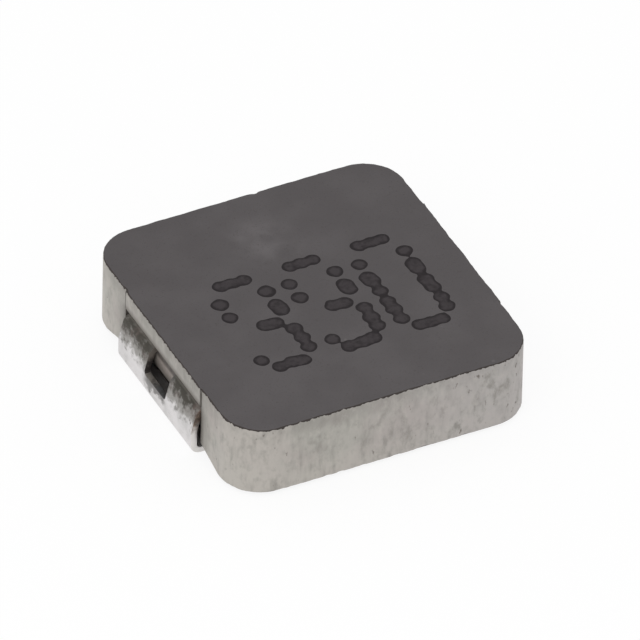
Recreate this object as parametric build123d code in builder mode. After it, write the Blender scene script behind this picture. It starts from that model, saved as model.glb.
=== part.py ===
from build123d import *

import math
import os

# Shielded power inductor for surface mounting. A block of pressed iron powder is moulded
# round an edgewise-wound coil of flat copper wire. Two tinned copper leads leave the block
# on -X and +X, run down its sides in recesses and fold under it as solder feet.
# Millimetres. The feet stand on Z = 0 and the block is centred on the Z axis.

os.makedirs("parts", exist_ok=True)

# Block
block_length = 6.2
block_width = 6.5
block_height = 1.5
corner_radius = 0.83
top_edge_break = 0.01
bottom_edge_radius = 0.02

# Strip that both leads are stamped and folded from
lead_thickness = 0.13
lead_width = 3.12
lead_top = 1.0  # upper face of the tab above the underside of the block
lead_overhang = 0.175  # outer face of the leg beyond the side of the block
leg_lean = 14.7  # degrees from upright, between shoulder and knee
knee_height = 0.48  # above the underside of the block
shoulder_inner_radius = 0.10
knee_inner_radius = 0.32
heel_inner_radius = 0.08
foot_length = 1.6
foot_drop = 0.06  # how far the feet stand below the block

# Window punched through shoulder and leg, which the powder fills at the wall
window_width = 0.88
window_sill = 0.42  # above the underside of the block
window_reach = 0.65  # from the side of the block to its inner end
window_corner_radius = 0.08

# Wings at the inner end of the tab, which anchor the lead and take the weld
tab_clearance = 0.1  # from the coil to the end of the tab
wing_length = 0.7
wing_corner_radius = 0.1

# Coil of enamelled flat wire, wound on edge
coil_inner_radius = 1.15
wire_width = 0.8
wire_thickness = 0.20
turn_gap = 0.02  # enamel between one turn and the next
coil_turns = 3
weld_length = 0.6
joggle_length = 0.38
joggle_radius = 0.08
bond_line = 0.02  # enamel and resin between the wire and the powder

# Recesses in the block
recess_side_gap = 0.05  # from each edge of a lead to the block beside it
lip_overhang = 0.02  # lip above the lead, beyond the side of the block
lip_height = 1.10  # lower edge of the lip above the underside of the block
wall_setback = 0.09  # wall below the lip, behind the side of the block
leg_recess_depth = 0.30
leg_recess_top = 0.52  # above the underside of the block
mouth_height = 0.22  # flare at the foot of the leg recess
mouth_reach = 0.8  # of the flare, beside the recess
foot_pocket_end_gap = 0.12

# Heights and places that follow
underside = foot_drop
tab_height = underside + lead_top - lead_thickness / 2
leg_place = block_length / 2 + lead_overhang - lead_thickness / 2
knee_place_height = underside + knee_height
shoulder_place = leg_place - (tab_height - knee_place_height) * math.tan(math.radians(leg_lean))
coil_radius = coil_inner_radius + wire_width / 2
coil_outer_radius = coil_inner_radius + wire_width
tab_end = coil_outer_radius + tab_clearance
foot_end = block_length / 2 + lead_overhang - foot_length
wire_pitch = wire_thickness + turn_gap
last_turn_height = tab_height + lead_thickness / 2 + wire_thickness / 2
first_turn_height = last_turn_height - coil_turns * wire_pitch
start_weld_height = tab_height - lead_thickness / 2 - wire_thickness / 2
recess_width = lead_width + 2 * recess_side_gap

# Where the inner edge of a straight wire end has left the round of the coil
coil_clear_place = math.sqrt(coil_outer_radius**2 - coil_inner_radius**2)
joggle_start = coil_clear_place + 2 * bond_line
weld_end = tab_end + weld_length
wing_width = 2 * coil_outer_radius

# Left lead: tab, shoulder, leaning leg, knee, heel and foot, folded from one strip
with BuildPart() as terminal_left:
    with BuildSketch(Plane.XZ) as strip_section:
        with BuildLine() as strip_line:
            FilletPolyline(
                (-tab_end, tab_height),
                (-shoulder_place, tab_height),
                (-leg_place, knee_place_height),
                (-leg_place, lead_thickness / 2),
                (-foot_end, lead_thickness / 2),
                radius=(
                    shoulder_inner_radius + lead_thickness / 2,
                    knee_inner_radius + lead_thickness / 2,
                    heel_inner_radius + lead_thickness / 2,
                ),
            )
        trace(line_width=lead_thickness)
    extrude(amount=lead_width / 2, both=True)

    # Wings of the tab
    with BuildSketch(Plane.XY.offset(tab_height - lead_thickness / 2)) as wing_outline:
        with Locations((-tab_end - wing_length / 2, 0)):
            RectangleRounded(wing_length, wing_width, wing_corner_radius)
    extrude(amount=lead_thickness)

    # Window in the tab, as seen from above
    window_inner_end = block_length / 2 - window_reach
    window_outer_end = leg_place + lead_thickness
    window_length = window_outer_end - window_inner_end
    with BuildSketch(Plane.XY.offset(tab_height - lead_thickness)) as window_plan:
        with Locations((-window_inner_end - window_length / 2, 0)):
            Rectangle(window_length, window_width)
        fillet(window_plan.vertices().group_by(Axis.X)[-1], window_corner_radius)
    extrude(amount=2 * lead_thickness, mode=Mode.SUBTRACT)

    # Window in the shoulder and the leg, as seen from the side, down to its sill
    window_height = lead_top - window_sill
    window_middle = underside + window_sill + window_height / 2
    with BuildSketch(Plane.YZ.offset(-window_outer_end)) as window_face:
        with Locations((0, window_middle)):
            Rectangle(window_width, window_height)
        fillet(window_face.vertices().group_by(Axis.Z)[0], window_corner_radius)
    extrude(amount=window_length - window_corner_radius, mode=Mode.SUBTRACT)

terminal_left.part.label = "terminal_left"
export_step(terminal_left.part, "parts/terminal_left.step")

# Right lead, the same strip on the other side
with BuildPart() as terminal_right:
    mirror(terminal_left.part, about=Plane.YZ)

terminal_right.part.label = "terminal_right"
export_step(terminal_right.part, "parts/terminal_right.step")

# Turns of the coil, from angle 0
with BuildPart() as turns:
    with BuildLine() as turn_path:
        Helix(wire_pitch, coil_turns * wire_pitch, coil_radius, center=(0, 0, first_turn_height))
    with BuildSketch(Plane.XZ) as wire_section:
        with Locations((coil_radius, first_turn_height)):
            Rectangle(wire_width, wire_thickness)
    sweep(is_frenet=True)


def start_end(grow=0.0):
    """The lower wire end: it leaves the coil towards -X and steps up under the left tab."""
    with BuildPart() as wire_end:
        with BuildSketch(Plane.XZ.offset(coil_radius)):
            with BuildLine():
                FilletPolyline(
                    (0, first_turn_height),
                    (-joggle_start, first_turn_height),
                    (-joggle_start - joggle_length, start_weld_height),
                    (-weld_end - grow, start_weld_height),
                    radius=joggle_radius + wire_thickness / 2,
                )
            trace(line_width=wire_thickness + 2 * grow)
        extrude(amount=wire_width / 2 + grow, both=True)
    return wire_end.part


def finish_end(grow=0.0):
    """The upper wire end: it leaves the coil towards +X and lies on the right tab."""
    with BuildPart() as wire_end:
        with BuildSketch(Plane.YZ):
            with Locations((-coil_radius, last_turn_height)):
                Rectangle(wire_width + 2 * grow, wire_thickness + 2 * grow)
        extrude(amount=weld_end + grow)
    return wire_end.part


# Coil: the turns, with both wire ends leaving at -Y
with BuildPart() as coil:
    add(turns.part.rotate(Axis.Z, -90))
    add(start_end())
    add(finish_end())

coil.part.label = "coil"
export_step(coil.part, "parts/coil.step")

# Block: the powder pressed round the coil and the tabs
with BuildPart() as moulded_body:
    with BuildSketch(Plane.XY.offset(underside)) as block_outline:
        RectangleRounded(block_length, block_width, corner_radius)
    extrude(amount=block_height)
    fillet(moulded_body.faces().sort_by(Axis.Z)[0].edges(), bottom_edge_radius)

    # Lip above each lead, which stands a little proud
    with BuildSketch(Plane.XY.offset(underside + lip_height)) as lip_plan:
        with GridLocations(block_length, 0, 2, 1):
            Rectangle(2 * lip_overhang, recess_width)
    extrude(amount=block_height - lip_height)
    chamfer(moulded_body.faces().sort_by(Axis.Z)[-1].edges(), top_edge_break)

    # Wall under the lip
    with BuildSketch(Plane.XY.offset(underside)) as wall_relief:
        with GridLocations(block_length, 0, 2, 1):
            Rectangle(2 * wall_setback, recess_width)
    extrude(amount=lip_height, mode=Mode.SUBTRACT)

    # Deeper recess behind each leg
    with BuildSketch(Plane.XY.offset(underside)) as leg_recess:
        with GridLocations(block_length, 0, 2, 1):
            Rectangle(2 * leg_recess_depth, recess_width)
    extrude(amount=leg_recess_top, mode=Mode.SUBTRACT)

    # Flared mouth of each leg recess, seen from the side
    mouth_slope = math.degrees(math.atan2(mouth_height, mouth_reach))
    mouth_start = block_length / 2 - leg_recess_depth
    with BuildSketch(Plane.YZ.offset(mouth_start), Plane.YZ.offset(-block_length / 2)) as mouth:
        with Locations((0, underside)):
            Trapezoid(
                recess_width + 2 * mouth_reach,
                mouth_height,
                mouth_slope,
                align=(Align.CENTER, Align.MIN),
            )
    extrude(amount=leg_recess_depth, mode=Mode.SUBTRACT)

    # Pocket in the underside over each foot
    pocket_reach = block_length / 2 - foot_end + foot_pocket_end_gap
    with BuildSketch(Plane.XY.offset(underside)) as foot_pocket:
        with GridLocations(block_length, 0, 2, 1):
            Rectangle(2 * pocket_reach, recess_width)
    extrude(amount=lead_thickness - foot_drop, mode=Mode.SUBTRACT)

    # Ring that the turns lie in
    with BuildSketch(Plane.XY.offset(first_turn_height - wire_thickness / 2 - bond_line)):
        Circle(coil_outer_radius + bond_line)
        Circle(coil_inner_radius - bond_line, mode=Mode.SUBTRACT)
    extrude(amount=coil_turns * wire_pitch + wire_thickness + 2 * bond_line, mode=Mode.SUBTRACT)

    # Ways for the wire ends and the tabs
    add(start_end(bond_line), mode=Mode.SUBTRACT)
    add(finish_end(bond_line), mode=Mode.SUBTRACT)
    add(terminal_left.part, mode=Mode.SUBTRACT)
    add(terminal_right.part, mode=Mode.SUBTRACT)

moulded_body.part.label = "moulded_body"
export_step(moulded_body.part, "parts/moulded_body.step")
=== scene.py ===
"""The looks of a shielded surface-mount inductor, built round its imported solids.

A block of pressed iron powder with ragged rims, two folded and tinned copper leads, the hidden
coil of flat copper wire, and a number printed in dots of ink on the dark top face.
"""

import logging
import math
import random
from collections.abc import Iterable
from dataclasses import dataclass
from enum import Enum, IntEnum
from typing import ClassVar

import bmesh
import bpy
from mathutils import Matrix, Vector, noise


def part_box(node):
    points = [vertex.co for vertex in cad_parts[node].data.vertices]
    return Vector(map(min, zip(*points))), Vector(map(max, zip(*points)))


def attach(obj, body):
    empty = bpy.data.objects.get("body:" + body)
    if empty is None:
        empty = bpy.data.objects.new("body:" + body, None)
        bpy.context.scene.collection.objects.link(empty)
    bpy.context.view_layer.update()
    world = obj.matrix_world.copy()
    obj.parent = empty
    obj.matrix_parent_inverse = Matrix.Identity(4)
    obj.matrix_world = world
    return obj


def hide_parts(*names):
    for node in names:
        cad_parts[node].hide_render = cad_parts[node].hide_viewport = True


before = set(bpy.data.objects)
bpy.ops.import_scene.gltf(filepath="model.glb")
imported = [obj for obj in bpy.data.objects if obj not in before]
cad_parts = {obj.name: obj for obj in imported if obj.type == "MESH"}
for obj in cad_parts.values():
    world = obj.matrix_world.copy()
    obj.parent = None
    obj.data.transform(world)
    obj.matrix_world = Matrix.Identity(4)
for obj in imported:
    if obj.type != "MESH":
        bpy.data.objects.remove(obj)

log = logging.getLogger("inductor")

MM = 0.001
SAME_PLACE = 0.0001 * MM
SAME_PLANE = math.radians(0.5)
BODY = "root"

Socket = bpy.types.NodeSocket
Value = float | Socket
Colour = tuple[float, float, float, float]
Inputs = dict[str | int, Socket | float | Iterable[float]]


def tone(red: float, green: float, blue: float) -> Colour:
    """A colour as a screen shows it, 0 to 255, turned into the linear colour that shaders take.

    Args:
        red: Red part.
        green: Green part.
        blue: Blue part.

    Returns:
        Linear red, green and blue, and an alpha of 1.
    """

    def linear(value: float) -> float:
        """One channel, by the screen's curve."""
        share = value / 255
        return share / 12.92 if share <= 0.04045 else ((share + 0.055) / 1.055) ** 2.4

    return (linear(red), linear(green), linear(blue), 1.0)


class Graph:
    """The node tree of one material, with short calls for the nodes that the finishes share."""

    def __init__(self, name: str) -> None:
        """Starts an empty tree.

        Args:
            name: The material's name.
        """
        self.material = bpy.data.materials.new(name)
        self.material.use_nodes = True
        self.tree = self.material.node_tree
        self.tree.nodes.clear()
        self.place = self.tree.nodes.new("ShaderNodeTexCoord").outputs["Object"]

    def node(self, kind: str, inputs: Inputs, **settings: str | bool) -> bpy.types.Node:
        """Adds a node.

        Args:
            kind: The node's type, without its common beginning.
            inputs: Values or sockets, by the input's name or number.
            **settings: The node's own settings.

        Returns:
            The new node.
        """
        made = self.tree.nodes.new("ShaderNode" + kind)
        for name, value in settings.items():
            setattr(made, name, value)
        for key, value in inputs.items():
            if isinstance(value, Socket):
                self.tree.links.new(value, made.inputs[key])
            else:
                made.inputs[key].default_value = value
        return made

    def axis(self, name: str) -> Socket:
        """The point's own X, Y or Z on the object."""
        return self.node("SeparateXYZ", {0: self.place}).outputs[name]

    def facing(self, name: str) -> Socket:
        """How squarely the face looks along X, Y or Z, one way or the other."""
        normal = self.node("NewGeometry", {}).outputs["True Normal"]
        return self.calc("ABSOLUTE", self.node("SeparateXYZ", {0: normal}).outputs[name])

    def reach(self, east: float = 0.0, north: float = 0.0) -> Socket:
        """The point's level distance from an upright line.

        Args:
            east: The line's place along X.
            north: The line's place along Y.

        Returns:
            The distance.
        """
        x = self.calc("SUBTRACT", self.axis("X"), east)
        y = self.calc("SUBTRACT", self.axis("Y"), north)
        square = self.calc("MULTIPLY_ADD", x, x, self.product(y, y))
        return self.calc("SQRT", square)

    def grain(
        self,
        size: float,
        stretch: tuple[float, float, float] = (1, 1, 1),
        detail: float = 3,
        rough: float = 0.5,
    ) -> Socket:
        """Cloudy noise on the object's own coordinates.

        Args:
            size: Size of a cloud in metres.
            stretch: How many times longer the clouds are along each axis.
            detail: Octaves of finer noise.
            rough: Weight of the finer noise.

        Returns:
            A value about 0.5.
        """
        spread = [1 / (size * times) for times in stretch]
        mapped = self.node("Mapping", {"Vector": self.place, "Scale": spread})
        inputs = {"Vector": mapped.outputs[0], "Scale": 1.0, "Detail": detail, "Roughness": rough}
        return self.node("TexNoise", inputs).outputs["Fac"]

    def waver(self, size: float, **settings: float | tuple[float, float, float]) -> Socket:
        """Cloudy noise as grain makes it, about 0."""
        return self.calc("SUBTRACT", self.grain(size, **settings), 0.5)

    def cells(self, size: float) -> tuple[Socket, Socket]:
        """Scattered points on the object's own coordinates.

        Args:
            size: Distance between points in metres.

        Returns:
            The distance to the nearest point, and that point's own random colour.
        """
        mapped = self.node("Mapping", {"Vector": self.place, "Scale": [1 / size] * 3})
        made = self.node("TexVoronoi", {"Vector": mapped.outputs[0], "Scale": 1.0})
        return made.outputs["Distance"], made.outputs["Color"]

    def calc(self, kind: str, first: Value, second: Value = 0.0, third: Value = 0.0) -> Socket:
        """An operation on up to three values.

        Args:
            kind: The operation.
            first: First value.
            second: Second value, where the operation has one.
            third: Third value, where the operation has one.

        Returns:
            The result.
        """
        return self.node("Math", {0: first, 1: second, 2: third}, operation=kind).outputs[0]

    def product(self, first: Value, *others: Value) -> Value:
        """All the values multiplied together.

        Args:
            first: First value.
            *others: The other values.

        Returns:
            The product.
        """
        for other in others:
            first = self.calc("MULTIPLY", first, other)
        return first

    def ramp(self, value: Value, low: float, high: float, start: float = 0.0, end: float = 1.0) -> Socket:
        """Maps a value smoothly from one range to another and keeps it inside.

        Args:
            value: The value.
            low: Where the result is start.
            high: Where the result is end.
            start: Result at low.
            end: Result at high.

        Returns:
            The mapped value.
        """
        inputs = {"Value": value, "From Min": low, "From Max": high, "To Min": start, "To Max": end}
        made = self.node("MapRange", inputs, interpolation_type="SMOOTHSTEP", clamp=True)
        return made.outputs["Result"]

    def mix(self, share: Value, first: Colour | Socket, second: Colour | Socket) -> Socket:
        """Mixes two colours.

        Args:
            share: How much of the second.
            first: First colour.
            second: Second colour.

        Returns:
            The mixed colour.
        """
        return self.node("Mix", {0: share, 6: first, 7: second}, data_type="RGBA").outputs[2]

    def bump(self, height: Value, depth: float, strength: float) -> Socket:
        """Turns a height into a bumpy normal.

        Args:
            height: The height, 0 to 1.
            depth: The depth in metres that a height of 1 stands for.
            strength: How much of it shows.

        Returns:
            The normal.
        """
        inputs = {"Height": height, "Distance": depth, "Strength": strength}
        return self.node("Bump", inputs).outputs["Normal"]

    def finish(self, inputs: Inputs) -> bpy.types.Material:
        """Ends the tree in the standard surface shader.

        Args:
            inputs: The shader's inputs.

        Returns:
            The material.
        """
        shader = self.node("BsdfPrincipled", inputs)
        self.node("OutputMaterial", {"Surface": shader.outputs[0]})
        return self.material


@dataclass(frozen=True)
class PressedPowder:
    """Pressed iron powder: dark and matte under the punches, rubbed light by the die's walls.

    Args:
        top: Height of the top face.
        base: Height of the underside.
        recess_half: Half the width of the recesses behind the leads.
        recess_start: Distance from the middle beyond which the recesses lie.
        lip: Height of the lower edge of the lip above each lead.
        rim_depth: How far down the sides the dark skin of the top reaches.
        rim_waver: How much the line wavers at which it ends.
        corner_start: Distance from the middle at which painted lamp light begins to pale the corners.
        sheen_centre: Middle of the lighter patch on the top face, a painted sheen.
        sheen_radius: Radius of that patch.
        border: Width over which a sharp border blends.
        relief_depth: Depth of the bumps.
    """

    top: float
    base: float
    recess_half: float = 1.61 * MM
    recess_start: float = 2.7 * MM
    lip: float = 1.16 * MM
    rim_depth: float = 0.026 * MM
    rim_waver: float = 0.09 * MM
    corner_start: float = 3.72 * MM
    sheen_centre: tuple[float, float] = (-0.15 * MM, 1.85 * MM)
    sheen_radius: float = 1.0 * MM
    border: float = 0.01 * MM
    relief_depth: float = 0.008 * MM

    # Sizes of the patterns on the dark skin
    cloud_size: float = 1.1 * MM
    speck_pitch: float = 0.45 * MM
    sheen_grain: float = 0.5 * MM
    dot_size: float = 0.035 * MM
    skin_grain: float = 0.03 * MM
    rim_grain: float = 0.08 * MM

    # Sizes of the patterns on the sides
    drift_size: float = 0.9 * MM
    streak_size: float = 0.15 * MM
    blotch_size: float = 0.24 * MM
    mottle_size: float = 0.1 * MM
    pit_size: float = 0.13 * MM
    scratch_size: float = 0.07 * MM

    skin: Colour = tone(83, 79, 80)
    skin_light: Colour = tone(101, 97, 98)
    skin_dark: Colour = tone(72, 67, 67)
    rim_dark: Colour = tone(54, 47, 43)
    wall: Colour = tone(176, 173, 166)
    wall_warm: Colour = tone(174, 167, 162)
    # Pale streaks and mottling, and also painted light at the foot and at the left corners
    wall_pale_and_lit: Colour = tone(190, 185, 178)
    wall_east: Colour = tone(178, 173, 172)
    smear_and_shade: Colour = tone(136, 133, 127)
    pit: Colour = tone(110, 103, 96)
    soil: Colour = tone(118, 112, 106)
    # Brownish soiling with painted shade on the set-back wall under the lip; painted shade under the lip,
    # down the recess corners and beside the leads
    grime_and_shade: Colour = tone(160, 150, 144)
    painted_shade: Colour = tone(50, 44, 40)

    def build(self) -> bpy.types.Material:
        """Makes the material.

        Returns:
            The material.
        """
        graph = Graph("pressed_powder")

        # Dark where a punch pressed: flat faces, and the rim down to a wavering line
        line = graph.calc("MULTIPLY_ADD", graph.waver(self.rim_grain), self.rim_waver, graph.axis("Z"))
        rim = graph.ramp(line, self.top - self.rim_depth - 0.004 * MM, self.top - self.rim_depth)
        flat = graph.ramp(graph.facing("Z"), 0.93, 0.98)
        pressed = graph.calc("MAXIMUM", rim, flat)
        band = graph.product(rim, graph.ramp(flat, 0.0, 1.0, 0.85, 0.0))
        skin = graph.mix(band, self._skin(graph), self.rim_dark)
        wall, pits = self._wall(graph)

        scratches = graph.product(graph.grain(self.scratch_size, stretch=(1, 1, 12)), 0.35)
        wall_height = graph.calc("SUBTRACT", scratches, pits)
        skin_height = graph.grain(self.skin_grain, rough=0.6)
        relief = graph.node("Mix", {0: pressed, 2: wall_height, 3: skin_height})
        return graph.finish(
            {
                "Base Color": graph.mix(pressed, wall, skin),
                "Roughness": graph.ramp(pressed, 0.0, 1.0, 0.5, 0.78),
                "Metallic": graph.ramp(pressed, 0.0, 1.0, 0.15, 0.0),
                "Specular IOR Level": 0.35,
                "Normal": graph.bump(relief.outputs[0], self.relief_depth, 0.6),
            }
        )

    def _skin(self, graph: Graph) -> Socket:
        """The dark skin: faint clouds, a lighter patch of painted sheen, pale specks and fine grain.

        Args:
            graph: The material's tree.

        Returns:
            The skin's colour.
        """
        cloud = graph.ramp(graph.grain(self.cloud_size, detail=4), 0.35, 0.7, 0.0, 0.3)
        skin = graph.mix(cloud, self.skin, self.skin_light)
        distance, pick = graph.cells(self.speck_pitch)
        rare = graph.ramp(graph.node("SeparateColor", {0: pick}).outputs[0], 0.86, 0.9)
        specks = graph.product(graph.ramp(distance, 0.05, 0.1, 0.8, 0.0), rare)
        # A lighter patch of painted sheen, joined with the pale specks
        reach = graph.reach(*self.sheen_centre)
        smudge_and_reflection = graph.ramp(reach, 0.2 * self.sheen_radius, self.sheen_radius, 1.0, 0.0)
        patchy = graph.ramp(graph.grain(self.sheen_grain, detail=5), 0.3, 0.7)
        rubbed = graph.calc("MAXIMUM", specks, graph.product(smudge_and_reflection, patchy))
        skin = graph.mix(rubbed, skin, self.skin_light)
        dots = graph.ramp(graph.grain(self.dot_size, detail=2), 0.28, 0.4, 0.5, 0.0)
        return graph.mix(dots, skin, self.skin_dark)

    def _wall(self, graph: Graph) -> tuple[Socket, Socket]:
        """The rubbed sides, with their pits, the soiled lip, the painted shade round the leads, and painted
        light at the foot and the left corners.

        Args:
            graph: The material's tree.

        Returns:
            The wall's colour and the depth of its pits.
        """
        wall = self._smear_wall(graph, self._shade_wall(graph))
        pitted = graph.grain(self.pit_size, stretch=(1, 1, 1.9), detail=5, rough=0.62)
        pitted = graph.calc("MULTIPLY_ADD", self._eastward(graph), 0.06, pitted)
        pits = graph.ramp(pitted, 0.65, 0.74)
        wall = graph.mix(pits, wall, self.pit)
        wall = self._soil_and_shade_under_lip(graph, wall)
        wall = self._shade_recess_corners(graph, wall)
        return self._shade_beside_leads(graph, wall), pits

    def _shade_wall(self, graph: Graph) -> Socket:
        """The wall's broad tones: drifting, paler at the foot with painted bounce light from the floor,
        paler at the left corners with painted lamp light, dull at the top.

        Args:
            graph: The material's tree.

        Returns:
            The wall's colour.
        """
        height = graph.axis("Z")
        drift = graph.ramp(graph.grain(self.drift_size), 0.35, 0.65)
        wall = graph.mix(drift, self.wall, self.wall_warm)
        # Painted bounce light from the floor: paler towards the foot
        low = graph.ramp(height, self.base + 0.1 * MM, self.base + 0.7 * MM, 0.7, 0.0)
        wall = graph.mix(low, wall, self.wall_pale_and_lit)
        high = graph.ramp(height, self.top - 0.45 * MM, self.top - 0.1 * MM, 0.0, 0.5)
        wall = graph.mix(high, wall, self.smear_and_shade)
        # Painted lamp light: the corners on the left, towards the lamp, paler
        corners = graph.ramp(graph.reach(), self.corner_start, self.corner_start + 0.4 * MM, 0.0, 0.7)
        west = graph.ramp(graph.axis("X"), -2 * MM, 2.5 * MM, 1.0, 0.1)
        return graph.mix(graph.product(corners, west), wall, self.wall_pale_and_lit)

    def _smear_wall(self, graph: Graph, wall: Socket) -> Socket:
        """Lays upright streaks, blotches and fine mottling over the wall.

        Args:
            graph: The material's tree.
            wall: The wall's colour so far.

        Returns:
            The wall's colour.
        """
        streak = graph.grain(self.streak_size, stretch=(1, 1, 4), detail=4)
        wall = graph.mix(graph.ramp(streak, 0.5, 0.75, 0.0, 0.45), wall, self.smear_and_shade)
        wall = graph.mix(graph.ramp(streak, 0.46, 0.28, 0.0, 0.4), wall, self.wall_pale_and_lit)
        east = self._eastward(graph)
        wall = graph.mix(graph.product(east, 0.6), wall, self.wall_east)
        blotch = graph.grain(self.blotch_size, stretch=(1, 1, 1.7), detail=5, rough=0.62)
        strength = graph.calc("MULTIPLY_ADD", east, 0.3, 0.5)
        wall = graph.mix(graph.product(strength, graph.ramp(blotch, 0.5, 0.72)), wall, self.smear_and_shade)
        mottle = graph.grain(self.mottle_size, stretch=(1, 1, 1.5))
        wall = graph.mix(graph.ramp(mottle, 0.5, 0.72, 0.0, 0.24), wall, self.smear_and_shade)
        return graph.mix(graph.ramp(mottle, 0.46, 0.28, 0.0, 0.3), wall, self.wall_pale_and_lit)

    def _soil_and_shade_under_lip(self, graph: Graph, wall: Socket) -> Socket:
        """Soils the lip above each lead, and darkens the set-back wall under it with brownish soiling and
        painted shade, darkest in a painted shadow just under the lip.

        Args:
            graph: The material's tree.
            wall: The wall's colour so far.

        Returns:
            The wall's colour.
        """
        across = graph.calc("ABSOLUTE", graph.axis("Y"))
        inside = graph.ramp(across, self.recess_half - self.border, self.recess_half + self.border, 1.0, 0.0)
        inside = graph.product(inside, self._outward(graph))
        soiled = self._from_lip(graph, 0.0, 0.16 * MM, 1.0, 0.05)
        wall = graph.mix(graph.product(inside, soiled), wall, self.soil)
        under = self._from_lip(graph, -self.border, 0.5 * self.border, 1.0, 0.0)
        above_leg = self._from_lip(graph, -0.58 * MM, -0.36 * MM, 0.0, 1.0)
        # Painted shadow of the lip, darkest just under it
        deep = self._from_lip(graph, -0.37 * MM, -0.27 * MM, 0.0, 0.85)
        grime_and_shade = graph.mix(deep, self.grime_and_shade, self.painted_shade)
        mottled = graph.ramp(graph.grain(self.mottle_size, detail=4), 0.35, 0.6, 0.95, 0.6)
        return graph.mix(graph.product(inside, under, above_leg, mottled), wall, grime_and_shade)

    def _shade_recess_corners(self, graph: Graph, wall: Socket) -> Socket:
        """Draws a thin line of painted shade down the corners of the recesses.

        Args:
            graph: The material's tree.
            wall: The wall's colour so far.

        Returns:
            The wall's colour.
        """
        across = graph.calc("ABSOLUTE", graph.axis("Y"))
        away = graph.calc("ABSOLUTE", graph.calc("SUBTRACT", across, self.recess_half))
        corner = graph.ramp(away, 0.012 * MM, 0.04 * MM, 1.0, 0.0)
        sideways = graph.ramp(graph.facing("Y"), 0.6, 0.9, 0.85, 0.35)
        upper = self._from_lip(graph, -0.7 * MM, -0.55 * MM, 0.3, 1.0)
        share = graph.product(corner, sideways, self._outward(graph), upper)
        return graph.mix(share, wall, self.painted_shade)

    def _shade_beside_leads(self, graph: Graph, wall: Socket) -> Socket:
        """Paints shade on the wall beside each recess, darker towards it.

        Args:
            graph: The material's tree.
            wall: The wall's colour so far.

        Returns:
            The wall's colour.
        """
        across = graph.calc("ABSOLUTE", graph.axis("Y"))
        beside = graph.ramp(across, self.recess_half - self.border, self.recess_half)
        below = self._from_lip(graph, -0.1 * MM, 0.15 * MM, 1.0, 0.2)
        beside = graph.product(beside, below, self._outward(graph))
        # Painted shade, fading away from the recess and darkest close to it
        fringe = graph.ramp(across, self.recess_half, self.recess_half + 0.5 * MM, 0.65, 0.0)
        wall = graph.mix(graph.product(fringe, beside), wall, self.smear_and_shade)
        close = graph.ramp(across, self.recess_half, self.recess_half + 0.17 * MM, 0.45, 0.0)
        return graph.mix(graph.product(close, beside), wall, self.painted_shade)

    def _eastward(self, graph: Graph) -> Socket:
        """A share that grows from the left side of the block to the right."""
        return graph.ramp(graph.axis("X"), -1.5 * MM, 2.8 * MM)

    def _outward(self, graph: Graph) -> Socket:
        """A share that is 1 on the two sides that hold the leads."""
        away = graph.calc("ABSOLUTE", graph.axis("X"))
        return graph.ramp(away, self.recess_start, self.recess_start + self.border)

    def _from_lip(self, graph: Graph, low: float, high: float, start: float, end: float) -> Socket:
        """A share that changes with the height from the lip's lower edge.

        Args:
            graph: The material's tree.
            low: Height from the lip at which the share is start.
            high: Height from the lip at which the share is end.
            start: Share at the low end.
            end: Share at the high end.

        Returns:
            The share.
        """
        return graph.ramp(graph.axis("Z"), self.lip + low, self.lip + high, start, end)


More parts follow.
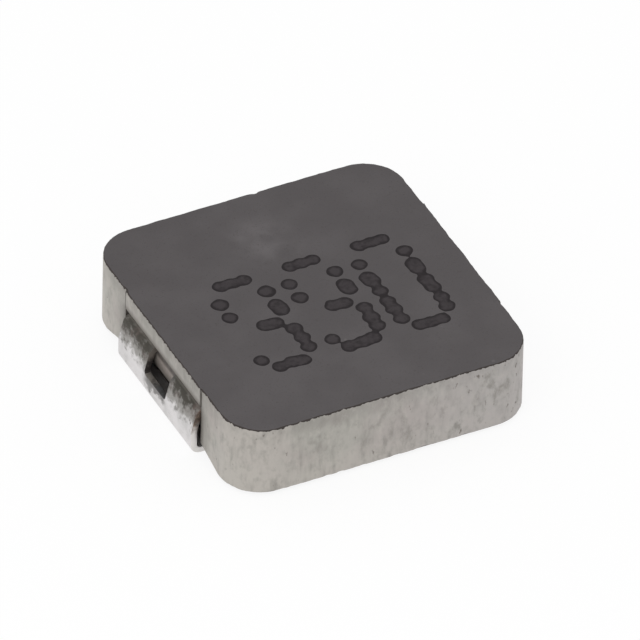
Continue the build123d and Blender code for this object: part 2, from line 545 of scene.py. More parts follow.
@dataclass(frozen=True)
class TinPlate:
    """Tin on the leads: bright where it was wiped, smeared with powder near the block.

    Args:
        darkening_low: Height where grey smudges and a painted reflection begin.
        darkening_high: Height above which powder and a painted dark reflection cover the tin.
        tilt: How much lower the powder and the painted reflection reach per length along Y.
        wall_place: Distance from the middle at which the wall begins, under the lip.
        sill: Height of the window's sill.
        window_half: Half the width of the window.
        scorched_end: Place along Y under which the powder is brown.
        relief_depth: Depth of the bumps.
    """

    darkening_low: float = 0.56 * MM
    darkening_high: float = 0.84 * MM
    tilt: float = 0.018
    wall_place: float = 3.12 * MM
    sill: float = 0.48 * MM
    window_half: float = 0.44 * MM
    scorched_end: float = -1.3 * MM
    relief_depth: float = 0.008 * MM

    # Sizes of the patterns, and how far two of them shift the edge of the powder and painted reflection
    coarse_size: float = 0.3 * MM
    coarse_shift: float = 0.4 * MM
    fine_size: float = 0.12 * MM
    fine_shift: float = 0.45 * MM
    cloud_size: float = 0.35 * MM
    scratch_size: float = 0.03 * MM
    rubbed_size: float = 0.1 * MM
    speck_size: float = 0.095 * MM
    relief_size: float = 0.05 * MM

    tin: Colour = tone(221, 218, 218)
    tin_dull: Colour = tone(202, 200, 199)
    # Grey smudges and dark powder, which also stand in as a painted dark reflection on the folds that face
    # up
    smudge_and_reflection: Colour = tone(139, 136, 131)
    powder: Colour = tone(61, 57, 49)
    scorch: Colour = tone(92, 80, 74)
    packed: Colour = tone(134, 128, 120)
    spilled: Colour = tone(92, 89, 86)

    def build(self) -> bpy.types.Material:
        """Makes the material.

        Returns:
            The material.
        """
        graph = Graph("tin_plate")
        coarse = graph.waver(self.coarse_size, stretch=(1, 1.3, 1))
        # Grey smudges low down, then powder and a painted dark reflection higher up, where the folds face up
        edge = self._ragged_height(graph, coarse)
        greyed = graph.ramp(edge, self.darkening_low - 0.03 * MM, self.darkening_low + 0.15 * MM, 0.0, 0.85)
        colour = graph.mix(greyed, self._wiped_tin(graph), self.smudge_and_reflection)
        darkened = graph.ramp(edge, self.darkening_high - 0.12 * MM, self.darkening_high + 0.08 * MM)
        colour = graph.mix(darkened, colour, self._powder_and_reflection(graph))
        specks = graph.ramp(graph.grain(self.speck_size), 0.5, 0.76, 0.0, 0.8)
        speckled = graph.ramp(edge, self.darkening_low - 0.1 * MM, self.darkening_low + 0.08 * MM)
        colour = graph.mix(graph.product(specks, speckled), colour, self.powder)
        colour = self._pack_under_lip(graph, colour)
        colour = self._spill_over_sill(graph, colour, coarse, edge)

        dull_share = graph.calc("MAXIMUM", greyed, darkened)
        relief = graph.grain(self.relief_size, stretch=(1, 2, 1), detail=4)
        return graph.finish(
            {
                "Base Color": colour,
                "Metallic": graph.ramp(dull_share, 0.0, 1.0, 0.8, 0.1),
                "Roughness": graph.ramp(dull_share, 0.0, 1.0, 0.4, 0.65),
                "Normal": graph.bump(relief, self.relief_depth, 0.5),
            }
        )

    def _ragged_height(self, graph: Graph, coarse: Socket) -> Socket:
        """The height by which powder and a painted dark reflection cover the tin, shifted so that its edge
        is ragged.

        Args:
            graph: The material's tree.
            coarse: The coarse pattern, about 0.

        Returns:
            The shifted height.
        """
        fine = graph.waver(self.fine_size, detail=4, rough=0.6)
        height = graph.calc("MULTIPLY_ADD", coarse, self.coarse_shift, graph.axis("Z"))
        height = graph.calc("MULTIPLY_ADD", fine, self.fine_shift, height)
        return graph.calc("MULTIPLY_ADD", graph.axis("Y"), self.tilt, height)

    def _wiped_tin(self, graph: Graph) -> Socket:
        """Cloudy tin with faint scratches along the folds.

        Args:
            graph: The material's tree.

        Returns:
            The tin's colour.
        """
        cloud = graph.ramp(graph.grain(self.cloud_size, detail=4), 0.4, 0.7)
        tin = graph.mix(cloud, self.tin, self.tin_dull)
        scratch = graph.grain(self.scratch_size, stretch=(1, 9, 1))
        return graph.mix(graph.ramp(scratch, 0.6, 0.75, 0.0, 0.25), tin, self.smudge_and_reflection)

    def _powder_and_reflection(self, graph: Graph) -> Socket:
        """The powder over the tin, which also stands in as a painted dark reflection: brown in places and at
        the near end, rubbed thin in others.

        Args:
            graph: The material's tree.

        Returns:
            The powder's colour.
        """
        near = graph.ramp(graph.axis("Y"), self.scorched_end - 0.12 * MM, self.scorched_end, 1.0, 0.0)
        patches = graph.ramp(graph.grain(self.coarse_size, detail=4), 0.45, 0.62)
        powder = graph.mix(graph.calc("MAXIMUM", patches, near), self.powder, self.scorch)
        rubbed = graph.grain(self.rubbed_size, stretch=(1, 2, 1), detail=4)
        return graph.mix(graph.ramp(rubbed, 0.5, 0.74, 0.0, 0.6), powder, self.smudge_and_reflection)

    def _pack_under_lip(self, graph: Graph, colour: Socket) -> Socket:
        """Lays pale powder that packed under the lip over the tab.

        Args:
            graph: The material's tree.
            colour: The lead's colour so far.

        Returns:
            The lead's colour.
        """
        away = graph.calc("ABSOLUTE", graph.axis("X"))
        inner = graph.ramp(away, self.wall_place - 0.05 * MM, self.wall_place - 0.01 * MM, 0.45, 0.0)
        above = graph.ramp(graph.axis("Z"), self.darkening_high, self.darkening_high + 0.05 * MM)
        return graph.mix(graph.product(inner, above), colour, self.packed)

    def _spill_over_sill(self, graph: Graph, colour: Socket, coarse: Socket, edge: Socket) -> Socket:
        """Lays powder that spilled over the window's sill.

        Args:
            graph: The material's tree.
            colour: The lead's colour so far.
            coarse: The coarse pattern, about 0.
            edge: The shifted height by which powder and a painted dark reflection cover the tin.

        Returns:
            The lead's colour.
        """
        across = graph.calc("ABSOLUTE", graph.axis("Y"))
        across = graph.calc("MULTIPLY_ADD", coarse, 0.6 * MM, across)
        near = graph.ramp(across, self.window_half - 0.14 * MM, self.window_half + 0.08 * MM, 0.8, 0.0)
        far_half = graph.ramp(graph.axis("Y"), -0.2 * MM, 0.4 * MM)
        spill = graph.calc("MULTIPLY_ADD", far_half, 0.1 * MM, edge)
        spill = graph.ramp(spill, self.sill - 0.17 * MM, self.sill - 0.05 * MM)
        return graph.mix(graph.product(spill, near), colour, self.spilled)


@dataclass(frozen=True)
class CutEdge:
    """The strip's cut edges: tin drawn over them below, bare dull copper near the block.

    Args:
        bare_low: Height where the copper begins to show.
        bare_high: Height above which it is bare.
        patch_size: Size of the patches in which the tin ends.
        patch_shift: How far they shift the height at which it ends.
        dull_size: Size of the dull patches on the copper.
    """

    bare_low: float = 0.45 * MM
    bare_high: float = 0.75 * MM
    patch_size: float = 0.1 * MM
    patch_shift: float = 0.4 * MM
    dull_size: float = 0.12 * MM
    tin: Colour = tone(230, 227, 224)
    copper: Colour = tone(140, 122, 110)
    dull: Colour = tone(96, 85, 77)

    def build(self) -> bpy.types.Material:
        """Makes the material.

        Returns:
            The material.
        """
        graph = Graph("cut_edge")
        dulled = graph.ramp(graph.grain(self.dull_size, detail=4), 0.4, 0.65)
        copper = graph.mix(dulled, self.copper, self.dull)
        patches = graph.waver(self.patch_size, detail=4)
        edge = graph.calc("MULTIPLY_ADD", patches, self.patch_shift, graph.axis("Z"))
        colour = graph.mix(graph.ramp(edge, self.bare_low, self.bare_high), self.tin, copper)
        normal = graph.bump(graph.grain(0.02 * MM, stretch=(1, 1, 4)), 0.004 * MM, 0.5)
        return graph.finish({"Base Color": colour, "Metallic": 0.6, "Roughness": 0.5, "Normal": normal})


@dataclass(frozen=True)
class WindowEdge:
    """The window's own cut edge: painted dark low down as the deep shade inside the window, brown higher up.

    Args:
        shade_below: Height under which it is painted dark as shade.
        sill: Height under which only the sill lies.
        patch_size: Size of the patches in which the painted shade ends.
        patch_shift: How far they shift the height at which it ends.
        sill_shift: How far they shift the place at which the sill's tone changes.
    """

    shade_below: float = 0.83 * MM
    sill: float = 0.5 * MM
    patch_size: float = 0.12 * MM
    patch_shift: float = 0.25 * MM
    sill_shift: float = 0.5 * MM
    # Painted deep shade inside the window
    shade_black: Colour = tone(42, 37, 34)
    brown: Colour = tone(104, 97, 90)
    bare: Colour = tone(88, 82, 76)
    sill_far: Colour = tone(118, 113, 107)
    sill_near: Colour = tone(68, 68, 69)

    def build(self) -> bpy.types.Material:
        """Makes the material.

        Returns:
            The material.
        """
        graph = Graph("window_edge")
        patches = graph.waver(self.patch_size, detail=5)
        edge = graph.calc("MULTIPLY_ADD", patches, self.patch_shift, graph.axis("Z"))
        # Painted shade low in the window, brown higher up
        brown = graph.ramp(edge, self.shade_below - 0.1 * MM, self.shade_below)
        colour = graph.mix(brown, self.shade_black, self.brown)
        bare = graph.ramp(graph.grain(0.07 * MM, detail=4), 0.58, 0.7, 0.0, 0.6)
        colour = graph.mix(bare, colour, self.bare)
        on_sill = graph.ramp(graph.axis("Z"), self.sill - 0.005 * MM, self.sill, 1.0, 0.0)
        colour = graph.mix(on_sill, colour, self._sill_powder(graph, patches))
        normal = graph.bump(graph.grain(0.03 * MM), 0.006 * MM, 0.6)
        return graph.finish({"Base Color": colour, "Roughness": 0.8, "Normal": normal})

    def _sill_powder(self, graph: Graph, patches: Socket) -> Socket:
        """The powder on the sill, paler at its far end, with patches of painted shade.

        Args:
            graph: The material's tree.
            patches: The patches, about 0.

        Returns:
            The powder's colour.
        """
        along = graph.calc("MULTIPLY_ADD", patches, self.sill_shift, graph.axis("Y"))
        sill = graph.mix(graph.ramp(along, -0.1 * MM, 0.2 * MM), self.sill_near, self.sill_far)
        # Patches of painted shade on the sill
        shade_black = graph.ramp(graph.grain(0.09 * MM, detail=4), 0.42, 0.6, 0.0, 0.6)
        return graph.mix(shade_black, sill, self.shade_black)


@dataclass(frozen=True)
class EnamelledCopper:
    """Copper wire under clear enamel."""

    copper: Colour = tone(196, 116, 66)
    amber: Colour = tone(150, 78, 40)
    cloud_size: float = 0.6 * MM

    def build(self) -> bpy.types.Material:
        """Makes the material.

        Returns:
            The material.
        """
        graph = Graph("enamelled_copper")
        thick = graph.ramp(graph.grain(self.cloud_size), 0.35, 0.7)
        return graph.finish(
            {
                "Base Color": graph.mix(thick, self.copper, self.amber),
                "Metallic": 0.9,
                "Roughness": 0.3,
                "Coat Weight": 0.6,
                "Coat Roughness": 0.12,
                "Normal": graph.bump(graph.grain(0.08 * MM), 0.003 * MM, 0.4),
            }
        )


@dataclass(frozen=True)
class DotInk:
    """Matte ink in dots that dried darker at their rims.

    Args:
        attribute: Name of the ink's attribute that is 0 in the middle of a dot and 1 at its rim.
    """

    attribute: str
    patch_size: float = 0.1 * MM
    patch_strength: float = 0.7
    rim: Colour = tone(34, 29, 31)
    middle: Colour = tone(60, 55, 57)

    def build(self) -> bpy.types.Material:
        """Makes the material.

        Returns:
            The material.
        """
        graph = Graph("dot_ink")
        outward = graph.node("Attribute", {}, attribute_name=self.attribute).outputs["Fac"]
        patchy = graph.calc("MULTIPLY_ADD", graph.waver(self.patch_size), self.patch_strength, outward)
        return graph.finish(
            {
                "Base Color": graph.mix(graph.ramp(patchy, 0.5, 0.9), self.middle, self.rim),
                "Roughness": 0.7,
                "Specular IOR Level": 0.2,
                "Normal": graph.bump(graph.grain(0.03 * MM), 0.004 * MM, 0.5),
            }
        )


def merged_copy(node: str) -> bmesh.types.BMesh:
    """A copy of a solid's mesh as whole flat faces in place of loose triangles.

    Args:
        node: The solid's name.

    Returns:
        The copy, to be shaped and freed by the caller.
    """
    mesh = bmesh.new()
    mesh.from_mesh(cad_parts[node].data)
    bmesh.ops.remove_doubles(mesh, verts=mesh.verts, dist=SAME_PLACE)
    bmesh.ops.dissolve_limit(mesh, angle_limit=SAME_PLANE, verts=mesh.verts, edges=mesh.edges)
    return mesh


def make_piece(
    name: str,
    mesh: bmesh.types.BMesh,
    materials: Iterable[bpy.types.Material],
    crease: float = 30,
) -> bpy.types.Object:
    """Turns a finished bmesh into a piece that rides on the part.

    Args:
        name: The piece's name.
        mesh: Its shape, which is freed.
        materials: Its materials in the order of its faces' numbers.
        crease: Angle in degrees above which an edge stays sharp.

    Returns:
        The new object.
    """
    data = bpy.data.meshes.new(name)
    mesh.to_mesh(data)
    mesh.free()
    data.shade_smooth()
    data.set_sharp_from_angle(angle=math.radians(crease))
    for material in materials:
        data.materials.append(material)
    piece = bpy.data.objects.new(name, data)
    bpy.context.scene.collection.objects.link(piece)
    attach(piece, BODY)
    log.info("%s: %d faces", name, len(data.polygons))
    return piece


@dataclass
class PressedBlock:
    """The block of pressed powder, with the ragged rim that the punch leaves round its top.

    Args:
        node: The solid that it stands for.
        ink_room: How far the top face lies below the box, so that the ink stays inside it.
        rim_inset: Width of the row of faces that is added round the top face.
        rim_rows: Depths of the rows that are added below the rim.
        rim_step: Length of a face along the rim and the bottom edge.
        break_depth: Depth of the broken edge round the top.
        fine_size: Size of the fine wear, with its depth and its octaves.
        chip_size: Size of the chips, with their depth and the noise at which they start.
        nick_place: Place of the one clear nick, with its radius and depth.
        foot_round: Radius of the bottom edge.
        foot_row: Height of the row that is added over it.
        foot_size: Size of the wear of the bottom edge, with its depth.
        tolerance: Difference in height that counts as none.
        upward: How squarely a face looks up that may be the top face.
        level: How squarely a corner looks up or down that isn't worn.
    """

    node: str = "moulded_body"
    slot: str = "pressed_powder"
    ink_room: float = 0.004 * MM
    rim_inset: float = 0.1 * MM
    rim_rows: tuple[float, ...] = (0.05 * MM, 0.10 * MM)
    rim_step: float = 0.035 * MM
    break_depth: float = 0.01 * MM
    fine_size: float = 0.24 * MM
    fine_depth: float = 0.024 * MM
    fine_octaves: int = 3
    fine_mean: float = 0.5
    fine_swing: float = 0.6
    chip_size: float = 0.32 * MM
    chip_depth: float = 0.09 * MM
    chip_start: float = 0.36
    chip_shift: tuple[float, float, float] = (7.3, 1.9, 4.1)
    nick_place: tuple[float, float] = (0.37 * MM, 3.25 * MM)
    nick_radius: float = 0.055 * MM
    nick_depth: float = 0.04 * MM
    foot_round: float = 0.02 * MM
    foot_row: float = 0.06 * MM
    foot_size: float = 0.16 * MM
    foot_depth: float = 0.036 * MM
    tolerance: float = 1e-8
    upward: float = 0.99
    level: float = 0.999

    def build(self) -> bpy.types.Object:
        """Shapes the block and dresses it.

        Returns:
            The block.
        """
        low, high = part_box(self.node)
        mesh = merged_copy(self.node)
        self._refine_rim(mesh, high.z)
        self._refine_foot(mesh, low.z)
        self._roughen(mesh, low.z, high.z)
        finish = PressedPowder(top=high.z, base=low.z).build()
        piece = make_piece("pressed_block", mesh, [finish], crease=24)
        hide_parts(self.node)
        return piece

    def _refine_rim(self, mesh: bmesh.types.BMesh, top: float) -> None:
        """Adds rows beside the top rim and cuts them into short faces.

        Args:
            mesh: The block.
            top: Height of its top face.
        """
        flats = [face for face in mesh.faces if face.normal.z > self.upward]
        flats = [face for face in flats if face.calc_center_median().z > top - self.tolerance]
        face = max(flats, key=lambda flat: flat.calc_area())
        bmesh.ops.inset_region(mesh, faces=[face], thickness=self.rim_inset, use_even_offset=True)
        for depth in self.rim_rows:
            self._cut_level(mesh, top - depth)
        self._shorten(mesh, top - self.break_depth, top - max(self.rim_rows), top)

    def _refine_foot(self, mesh: bmesh.types.BMesh, base: float) -> None:
        """Adds a row over the bottom edge and cuts it into short faces.

        Args:
            mesh: The block.
            base: Height of its underside.
        """
        self._cut_level(mesh, base + self.foot_row)
        self._shorten(mesh, base + self.foot_round, base, base + self.foot_row)

    def _cut_level(self, mesh: bmesh.types.BMesh, level: float) -> None:
        """Cuts the faces along a level.

        Args:
            mesh: The block.
            level: Height of the cut.
        """
        everything = mesh.verts[:] + mesh.edges[:] + mesh.faces[:]
        place = Vector((0, 0, level))
        bmesh.ops.bisect_plane(
            mesh,
            geom=everything,
            plane_co=place,
            plane_no=(0, 0, 1),
            dist=self.tolerance,
        )

    def _shorten(self, mesh: bmesh.types.BMesh, level: float, low: float, high: float) -> None:
        """Cuts the faces beside the edges on a level into short ones.

        Args:
            mesh: The block.
            level: Height of the edges.
            low: Height below which no face counts.
            high: Height above which no face counts.
        """
        seeds = [
            edge
            for edge in mesh.edges
            if all(abs(vert.co.z - level) < self.tolerance for vert in edge.verts)
        ]
        by_cuts: dict[int, list[bmesh.types.BMEdge]] = {}
        for seed in seeds:
            cuts = round(seed.calc_length() / self.rim_step) - 1
            if cuts > 0:
                by_cuts.setdefault(cuts, []).extend(self._ladder(seed, low, high))
        for cuts, edges in sorted(by_cuts.items()):
            bmesh.ops.subdivide_edges(mesh, edges=edges, cuts=cuts, use_grid_fill=True)

    def _ladder(self, seed: bmesh.types.BMEdge, low: float, high: float) -> list[bmesh.types.BMEdge]:
        """The edges that lie side by side across a row of four-sided faces.

        Args:
            seed: The edge to start from.
            low: Height below which no face counts.
            high: Height above which no face counts.

        Returns:
            The edges, the seed among them.
        """
        found = [seed]
        for edge in found:
            for face in edge.link_faces:
                heights = [vert.co.z for vert in face.verts]
                outside = min(heights) < low - self.tolerance or max(heights) > high + self.tolerance
                if len(heights) != 4 or outside:
                    continue
                other = next(rung for rung in face.edges if not set(rung.verts) & set(edge.verts))
                if other not in found:
                    found.append(other)
        return found

    def _roughen(self, mesh: bmesh.types.BMesh, base: float, top: float) -> None:
        """Wears the rim inwards and the bottom edge upwards by noise, with one clear nick at the back.

        Args:
            mesh: The block.
            base: Height of its underside.
            top: Height of its top face.
        """
        mesh.normal_update()
        nick = Vector((*self.nick_place, top))
        moves = {}
        for vert in mesh.verts:
            if abs(vert.normal.z) > self.level:
                continue
            if vert.co.z < base + self.foot_round + self.tolerance:
                worn = self.foot_depth * max(0.0, noise.noise(vert.co / self.foot_size))
                moves[vert] = Vector((0, 0, worn))
            if top - vert.co.z > self.break_depth + self.tolerance:
                continue
            fine = noise.fractal(vert.co / self.fine_size, 1.0, 2.0, self.fine_octaves)
            fine = self.fine_depth * max(0.0, self.fine_mean + self.fine_swing * fine)
            chip = noise.noise(vert.co / self.chip_size + Vector(self.chip_shift))
            worn = fine + self.chip_depth * max(0.0, chip - self.chip_start)
            near = (vert.co - nick).length / self.nick_radius
            worn += self.nick_depth * math.exp(-near * near)
            moves[vert] = -Vector((vert.normal.x, vert.normal.y, 0)).normalized() * worn
        for vert, move in moves.items():
            vert.co += move
        for vert in mesh.verts:
            vert.co.z = min(vert.co.z, top - self.ink_room)


class Side(Enum):
    """Which lead: the sign of the side of the block that it leaves."""

    LEFT = -1
    RIGHT = 1


class Surface(IntEnum):
    """The surfaces of a lead, by the number of their finish."""

    TIN = 0
    CUT_EDGE = 1
    WINDOW_EDGE = 2


@dataclass
class FoldedLead:
    """A lead folded from tinned copper strip, with bare copper where it was cut.

    Args:
        side: Which of the two.
        edge_round: Radius of the sharp edges.
        sharp: Angle above which an edge is rounded.
        window_half: Half the width inside which a face belongs to the window.
        window_low: Height above which it does.
        sill_below: Height under which a face that looks up is the sill.
        sideways: How squarely a cut edge looks along Y at least.
        upward: How squarely the sill looks up at least.
    """

    side: Side
    slot: str = "tinned_copper"
    edge_round: float = 0.012 * MM
    sharp: float = math.radians(60)
    window_half: float = 0.46 * MM
    window_low: float = 0.40 * MM
    sill_below: float = 0.8 * MM
    sideways: float = 0.05
    upward: float = 0.95

    @property
    def node(self) -> str:
        """The solid that this lead stands for."""
        return f"terminal_{self.side.name.lower()}"

    def build(self, finishes: list[bpy.types.Material]) -> bpy.types.Object:
        """Shapes the lead and dresses it.

        Args:
            finishes: Those of its surfaces, in their order.

        Returns:
            The lead.
        """
        mesh = merged_copy(self.node)
        for face in mesh.faces:
            face.material_index = self._surface_of(face)
        sharp = [edge for edge in mesh.edges if edge.calc_face_angle(0) > self.sharp]
        bmesh.ops.bevel(
            mesh,
            geom=sharp,
            offset=self.edge_round,
            segments=2,
            profile=0.5,
            affect="EDGES",
            material=-1,
            clamp_overlap=True,
        )
        low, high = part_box(self.node)
        for vert in mesh.verts:
            vert.co = Vector(max(least, min(at, most)) for least, at, most in zip(low, vert.co, high))
        piece = make_piece(f"lead_{self.side.name.lower()}", mesh, finishes)
        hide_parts(self.node)
        return piece

    def _surface_of(self, face: bmesh.types.BMFace) -> Surface:
        """Which surface a face of the lead belongs to.

        Args:
            face: A face of the lead.

        Returns:
            The surface.
        """
        middle = face.calc_center_median()
        in_window = abs(middle.y) < self.window_half and middle.z > self.window_low
        cut = abs(face.normal.y) > self.sideways
        sill = face.normal.z > self.upward and middle.z < self.sill_below
        if in_window and (cut or sill):
            return Surface.WINDOW_EDGE
        return Surface.CUT_EDGE if cut else Surface.TIN


@dataclass
class Dot:
    """One dot of ink.

    Args:
        centre: Its place on the top face.
        radius: Its radius.
        joined: Whether it runs into another.
    """

    centre: Vector
    radius: float
    joined: bool = False


@dataclass
class DotNumber:
    """A number printed on the top face in round dots of ink that run into each other.

    Args:
        text: The digits to print.
        top: Height of the highest point of the ink.
        left: Place of the first column of dots.
        top_row: Place of the first row of dots.
        wobble: How far a dot may lie off its place.
        spread: Reach of a dot's ink in radii, by which neighbours run together.
        ragged: How much the ink's edge wavers, over a ragged_size.
        pooled: How dark the middle of joined dots is.
        cell: Size of the grid that the ink is cut from, with a margin round it.
        least_cut: How near to a corner of the grid the cut may come, as a share of a cell.
        soaked: How deep the ink goes into the powder.
    """

    text: str
    top: float
    slot: str = "pressed_powder"
    left: float = -1.70 * MM
    digit_pitch: float = 1.445 * MM
    column_pitch: float = 0.242 * MM
    top_row: float = 0.778 * MM
    row_pitch: float = 0.298 * MM
    dot_radius: float = 0.165 * MM
    radius_range: tuple[float, float] = (0.95, 1.06)
    top_row_radius: float = 0.92
    top_row_wobble: float = 0.4
    dot_height: float = 0.004 * MM
    soaked: float = 0.002 * MM
    wobble: float = 0.022 * MM
    spread: float = 1.46
    ragged: float = 0.1
    ragged_size: float = 0.15 * MM
    pooled: float = 0.62
    cell: float = 0.025 * MM
    least_cut: float = 0.06
    margin: float = 0.3 * MM
    seed: int = 33
    attribute: str = "from_middle"

    # How far the nozzles of some rows print off their place
    slips: ClassVar[dict[int, float]] = {0: 0.192 * MM, 2: -0.11 * MM}

    # Rows of each digit from the top, with a mark for each dot
    digits: ClassVar[dict[str, tuple[str, ...]]] = {
        "0": (" ### ", "#   #", "#   #", "#   #", "#   #", "#   #", "#   #", "#   #", " ### "),
        "3": (" ### ", "#   #", "#   #", "    #", "  ## ", "    #", "    #", "#   #", " ### "),
    }

    @property
    def rim_level(self) -> float:
        """The amount of ink at the rim of a dot that stands alone."""
        return (1 - self.spread**-2) ** 2

    def build(self) -> bpy.types.Object:
        """Prints the number.

        Returns:
            The ink.
        """
        dots = self._place_dots()
        mesh = self._sheet(dots)
        outward = mesh.verts.layers.float.new(self.attribute)
        ink = {vert: self._ink_at(vert.co, dots) for vert in mesh.verts}
        self._cut_to_rim(mesh, ink)
        for vert in mesh.verts:
            amount, crowding = self._ink_at(vert.co, dots)
            depth = min(1.0, max(0.0, (amount - self.rim_level) / (1 - self.rim_level)))
            vert.co.z = self.top - self.dot_height * (1 - depth)
            vert[outward] = max(math.sqrt(1 - depth), self.pooled * crowding)
        self._close_underside(mesh)
        piece = make_piece("printed_number", mesh, [DotInk(attribute=self.attribute).build()], crease=60)
        return piece

    def _place_dots(self) -> list[Dot]:
        """Sets out the dots of all digits, each a little off its place and size.

        Returns:
            The dots.
        """
        rng = random.Random(self.seed)
        dots = []
        for place, digit in enumerate(self.text):
            for row, marks in enumerate(self.digits[digit]):
                y = self.top_row - row * self.row_pitch + self.slips.get(row, 0.0)
                for column, mark in enumerate(marks):
                    if mark == "#":
                        x = self.left + place * self.digit_pitch + column * self.column_pitch
                        shift = Vector((rng.uniform(-1, 1), rng.uniform(-1, 1), 0)) * self.wobble
                        radius = self.dot_radius * rng.uniform(*self.radius_range)
                        if row == 0:
                            shift *= self.top_row_wobble
                            radius *= self.top_row_radius
                        dots.append(Dot(Vector((x, y, 0)) + shift, radius))
        for dot in dots:
            apart = [(other.centre - dot.centre).length for other in dots if other is not dot]
            dot.joined = min(apart) < 2 * self.dot_radius
        return dots

    def _sheet(self, dots: list[Dot]) -> bmesh.types.BMesh:
        """A flat grid of small cells under all the dots.

        Args:
            dots: The dots.

        Returns:
            The grid, at height 0.
        """
        low = Vector((min(dot.centre.x for dot in dots), min(dot.centre.y for dot in dots), 0))
        high = Vector((max(dot.centre.x for dot in dots), max(dot.centre.y for dot in dots), 0))
        size = high - low + Vector((2 * self.margin, 2 * self.margin, 0))
        mesh = bmesh.new()
        bmesh.ops.create_grid(
            mesh,
            x_segments=round(size.x / self.cell),
            y_segments=round(size.y / self.cell),
            size=0.5,
            matrix=Matrix.Translation((low + high) / 2) @ Matrix.Diagonal((size.x, size.y, 1, 1)),
        )
        return mesh

    def _ink_at(self, spot: Vector, dots: list[Dot]) -> tuple[float, float]:
        """How much ink lies at a spot, where neighbouring dots run together.

        Args:
            spot: The spot on the top face.
            dots: The dots.

        Returns:
            The amount of ink, and what share of it is from dots that run into others.
        """
        amount = 0.0
        joined = 0.0
        for dot in dots:
            reach = self.spread * dot.radius
            east, north = spot.x - dot.centre.x, spot.y - dot.centre.y
            share = (east * east + north * north) / (reach * reach)
            if share < 1:
                amount += (1 - share) ** 2
                joined += (1 - share) ** 2 * dot.joined
        if amount == 0:
            return 0.0, 0.0
        on_face = Vector((spot.x, spot.y, 0))
        return amount + self.ragged * noise.noise(on_face / self.ragged_size), joined / amount

    def _cut_to_rim(
        self, mesh: bmesh.types.BMesh, ink: dict[bmesh.types.BMVert, tuple[float, float]]
    ) -> None:
        """Cuts the grid along the line where the ink ends, and drops what lies outside.

        Args:
            mesh: The grid.
            ink: The ink at each of its corners.
        """
        outside = [vert for vert, (amount, _) in ink.items() if amount <= self.rim_level]
        rim = []
        for edge in list(mesh.edges):
            first, second = (ink[vert][0] - self.rim_level for vert in edge.verts)
            if (first > 0) != (second > 0):
                share = first / (first - second)
                share = min(1 - self.least_cut, max(self.least_cut, share))
                _, made = bmesh.utils.edge_split(edge, edge.verts[0], share)
                rim.append(made)
        bmesh.ops.connect_verts(mesh, verts=rim)
        bmesh.ops.delete(mesh, geom=outside, context="VERTS")

    def _close_underside(self, mesh: bmesh.types.BMesh) -> None:
        """Closes the ink underneath, where it soaks a little into the powder.

        Args:
            mesh: The upper surface of the ink.
        """
        rim = [vert for vert in mesh.verts if vert.is_boundary]
        made = bmesh.ops.duplicate(mesh, geom=mesh.verts[:] + mesh.edges[:] + mesh.faces[:])
        under = [item for item in made["geom"] if isinstance(item, bmesh.types.BMFace)]
        bmesh.ops.reverse_faces(mesh, faces=under)
        for face in under:
            for vert in face.verts:
                vert.co.z = self.top - self.dot_height - self.soaked
        twins = {made["vert_map"][vert]: vert for vert in rim}
        bmesh.ops.weld_verts(mesh, targetmap=twins)


@dataclass
class Coil:
    """The coil inside the block, which shows only if the block is taken away."""

    node: str = "coil"

    def dress(self) -> None:
        """Gives the solid its finish."""
        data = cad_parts[self.node].data
        data.materials.clear()
        data.materials.append(EnamelledCopper().build())
        log.info("%s dressed", self.node)


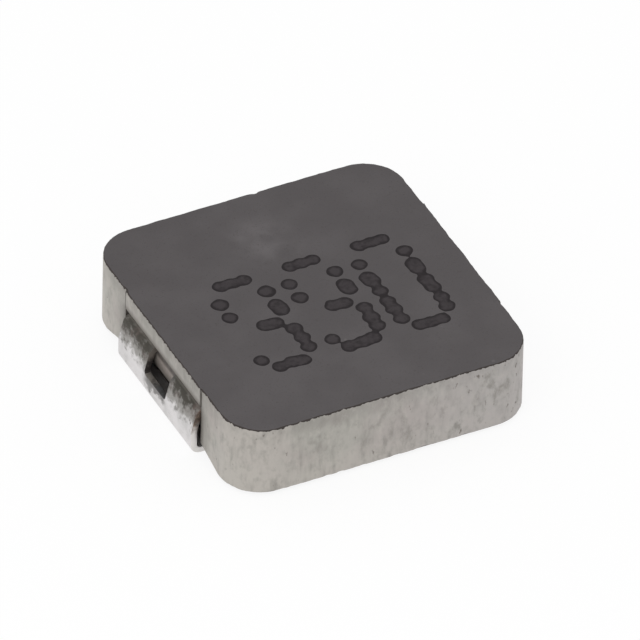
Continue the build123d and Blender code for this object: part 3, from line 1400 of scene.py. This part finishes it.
@dataclass
class Studio:
    """A pale floor, soft light and the camera at the photograph's angle.

    Args:
        underside: Height of the block's underside, which the camera's place is measured from.
        unit: The block's length, in which the camera's place is given.
        azimuth: Turn of the camera round the block.
        elevation: Its angle above the floor.
        roll: Its turn round its own line of sight.
        aim_right: How far right of the block's middle it looks, in units.
        aim_up: How far above it, in units.
        floor_gap: How far the floor lies under the feet, so that the two never coincide.
        floor_glow: Brightness with which the floor shows white.
        glow_share: Share of that in what the camera sees of the floor.
        sky_level: Brightness of the light from all round.
        lamp_place: Place of the lamp in millimetres.
    """

    underside: float
    unit: float = 6.2 * MM
    azimuth: float = math.radians(-26.9735)
    elevation: float = math.radians(39.0374)
    roll: float = math.radians(1.3021)
    distance_units: float = 70.4
    pixels_per_unit: float = 330.98
    image_pixels: int = 640
    aim_right: float = 0.0255
    aim_up: float = 0.1146
    floor_size: float = 0.4
    floor_gap: float = 0.002 * MM
    floor_colour: Colour = tone(250, 250, 250)
    floor_glow: float = 1.02
    glow_share: float = 0.86
    sky_level: float = 0.80
    lamp_place: tuple[float, float, float] = (-60, -45, 70)
    lamp_size: float = 60 * MM
    lamp_power: float = 0.014
    sensor_width: float = 36
    clip_near: float = 10 * MM
    clip_far: float = 2

    def build(self) -> None:
        """Sets the floor, the light and the camera."""
        self._lay_floor()
        self._light()
        self._aim_camera()

    def _lay_floor(self) -> None:
        """Lays a white floor that shows white to the camera and keeps a soft shadow."""
        mesh = bmesh.new()
        level = Matrix.Translation((0, 0, -self.floor_gap))
        bmesh.ops.create_grid(mesh, x_segments=1, y_segments=1, size=self.floor_size, matrix=level)
        data = bpy.data.meshes.new("floor")
        mesh.to_mesh(data)
        mesh.free()
        floor = bpy.data.objects.new("floor", data)
        bpy.context.scene.collection.objects.link(floor)
        graph = Graph("white_floor")
        paths = graph.node("LightPath", {})
        seen = graph.calc("MAXIMUM", paths.outputs["Is Camera Ray"], paths.outputs["Is Glossy Ray"])
        seen = graph.calc("MAXIMUM", seen, paths.outputs["Is Transmission Ray"])
        diffuse = graph.node("BsdfDiffuse", {"Color": self.floor_colour})
        glow = graph.node("Emission", {"Color": (1, 1, 1, 1), "Strength": self.floor_glow})
        share = graph.product(seen, self.glow_share)
        blend = graph.node("MixShader", {0: share, 1: diffuse.outputs[0], 2: glow.outputs[0]})
        graph.node("OutputMaterial", {"Surface": blend.outputs[0]})
        data.materials.append(graph.material)

    def _light(self) -> None:
        """A pale world all round and one large soft lamp from the upper left."""
        world = bpy.data.worlds.new("studio")
        bpy.context.scene.world = world
        world.use_nodes = True
        tree = world.node_tree
        background = tree.nodes["Background"]
        paths = tree.nodes.new("ShaderNodeLightPath")
        seen = tree.nodes.new("ShaderNodeMath")
        seen.operation = "MAXIMUM"
        tree.links.new(paths.outputs["Is Camera Ray"], seen.inputs[0])
        tree.links.new(paths.outputs["Is Glossy Ray"], seen.inputs[1])
        level = tree.nodes.new("ShaderNodeMapRange")
        level.inputs["To Min"].default_value = self.sky_level
        level.inputs["To Max"].default_value = 1.0
        tree.links.new(seen.outputs[0], level.inputs["Value"])
        tree.links.new(level.outputs["Result"], background.inputs["Strength"])
        background.inputs["Color"].default_value = (1, 1, 1, 1)

        lamp = bpy.data.lights.new("softbox", "AREA")
        lamp.size = self.lamp_size
        lamp.energy = self.lamp_power
        softbox = bpy.data.objects.new("softbox", lamp)
        softbox.location = Vector(self.lamp_place) * MM
        softbox.rotation_mode = "QUATERNION"
        softbox.rotation_quaternion = (-softbox.location).to_track_quat("-Z", "Y")
        bpy.context.scene.collection.objects.link(softbox)

    def _aim_camera(self) -> None:
        """Places the camera as fitted to the block's outline, in units of the block's length."""
        across = Vector((math.cos(self.azimuth), math.sin(self.azimuth), 0))
        back = Vector(
            (
                math.sin(self.azimuth) * math.cos(self.elevation),
                -math.cos(self.azimuth) * math.cos(self.elevation),
                math.sin(self.elevation),
            )
        )
        upright = back.cross(across)
        right = math.cos(self.roll) * across + math.sin(self.roll) * upright
        up = math.cos(self.roll) * upright - math.sin(self.roll) * across
        place = self.aim_right * right + self.aim_up * up + self.distance_units * back
        camera = bpy.data.cameras.new("camera")
        camera.sensor_width = self.sensor_width
        sensor_per_pixel = self.sensor_width / self.image_pixels
        camera.lens = self.pixels_per_unit * self.distance_units * sensor_per_pixel
        camera.clip_start = self.clip_near
        camera.clip_end = self.clip_far
        viewer = bpy.data.objects.new("camera", camera)
        base = Vector((0, 0, self.underside))
        turn = Matrix((right, up, back)).transposed()
        viewer.matrix_world = Matrix.Translation(place * self.unit + base) @ turn.to_4x4()
        bpy.context.scene.collection.objects.link(viewer)
        bpy.context.scene.camera = viewer


def main() -> None:
    """Builds the block, the leads, the coil, the number and the studio in that order."""
    logging.basicConfig(level=logging.INFO, format="%(message)s")
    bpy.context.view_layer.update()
    low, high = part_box("moulded_body")
    PressedBlock().build()
    finishes = [TinPlate().build(), CutEdge().build(), WindowEdge().build()]
    for side in Side:
        FoldedLead(side).build(finishes)
    Coil().dress()
    DotNumber("330", top=high.z).build()
    Studio(underside=low.z).build()
    bpy.context.scene.view_settings.view_transform = "Standard"


if __name__ == "__main__":
    main()
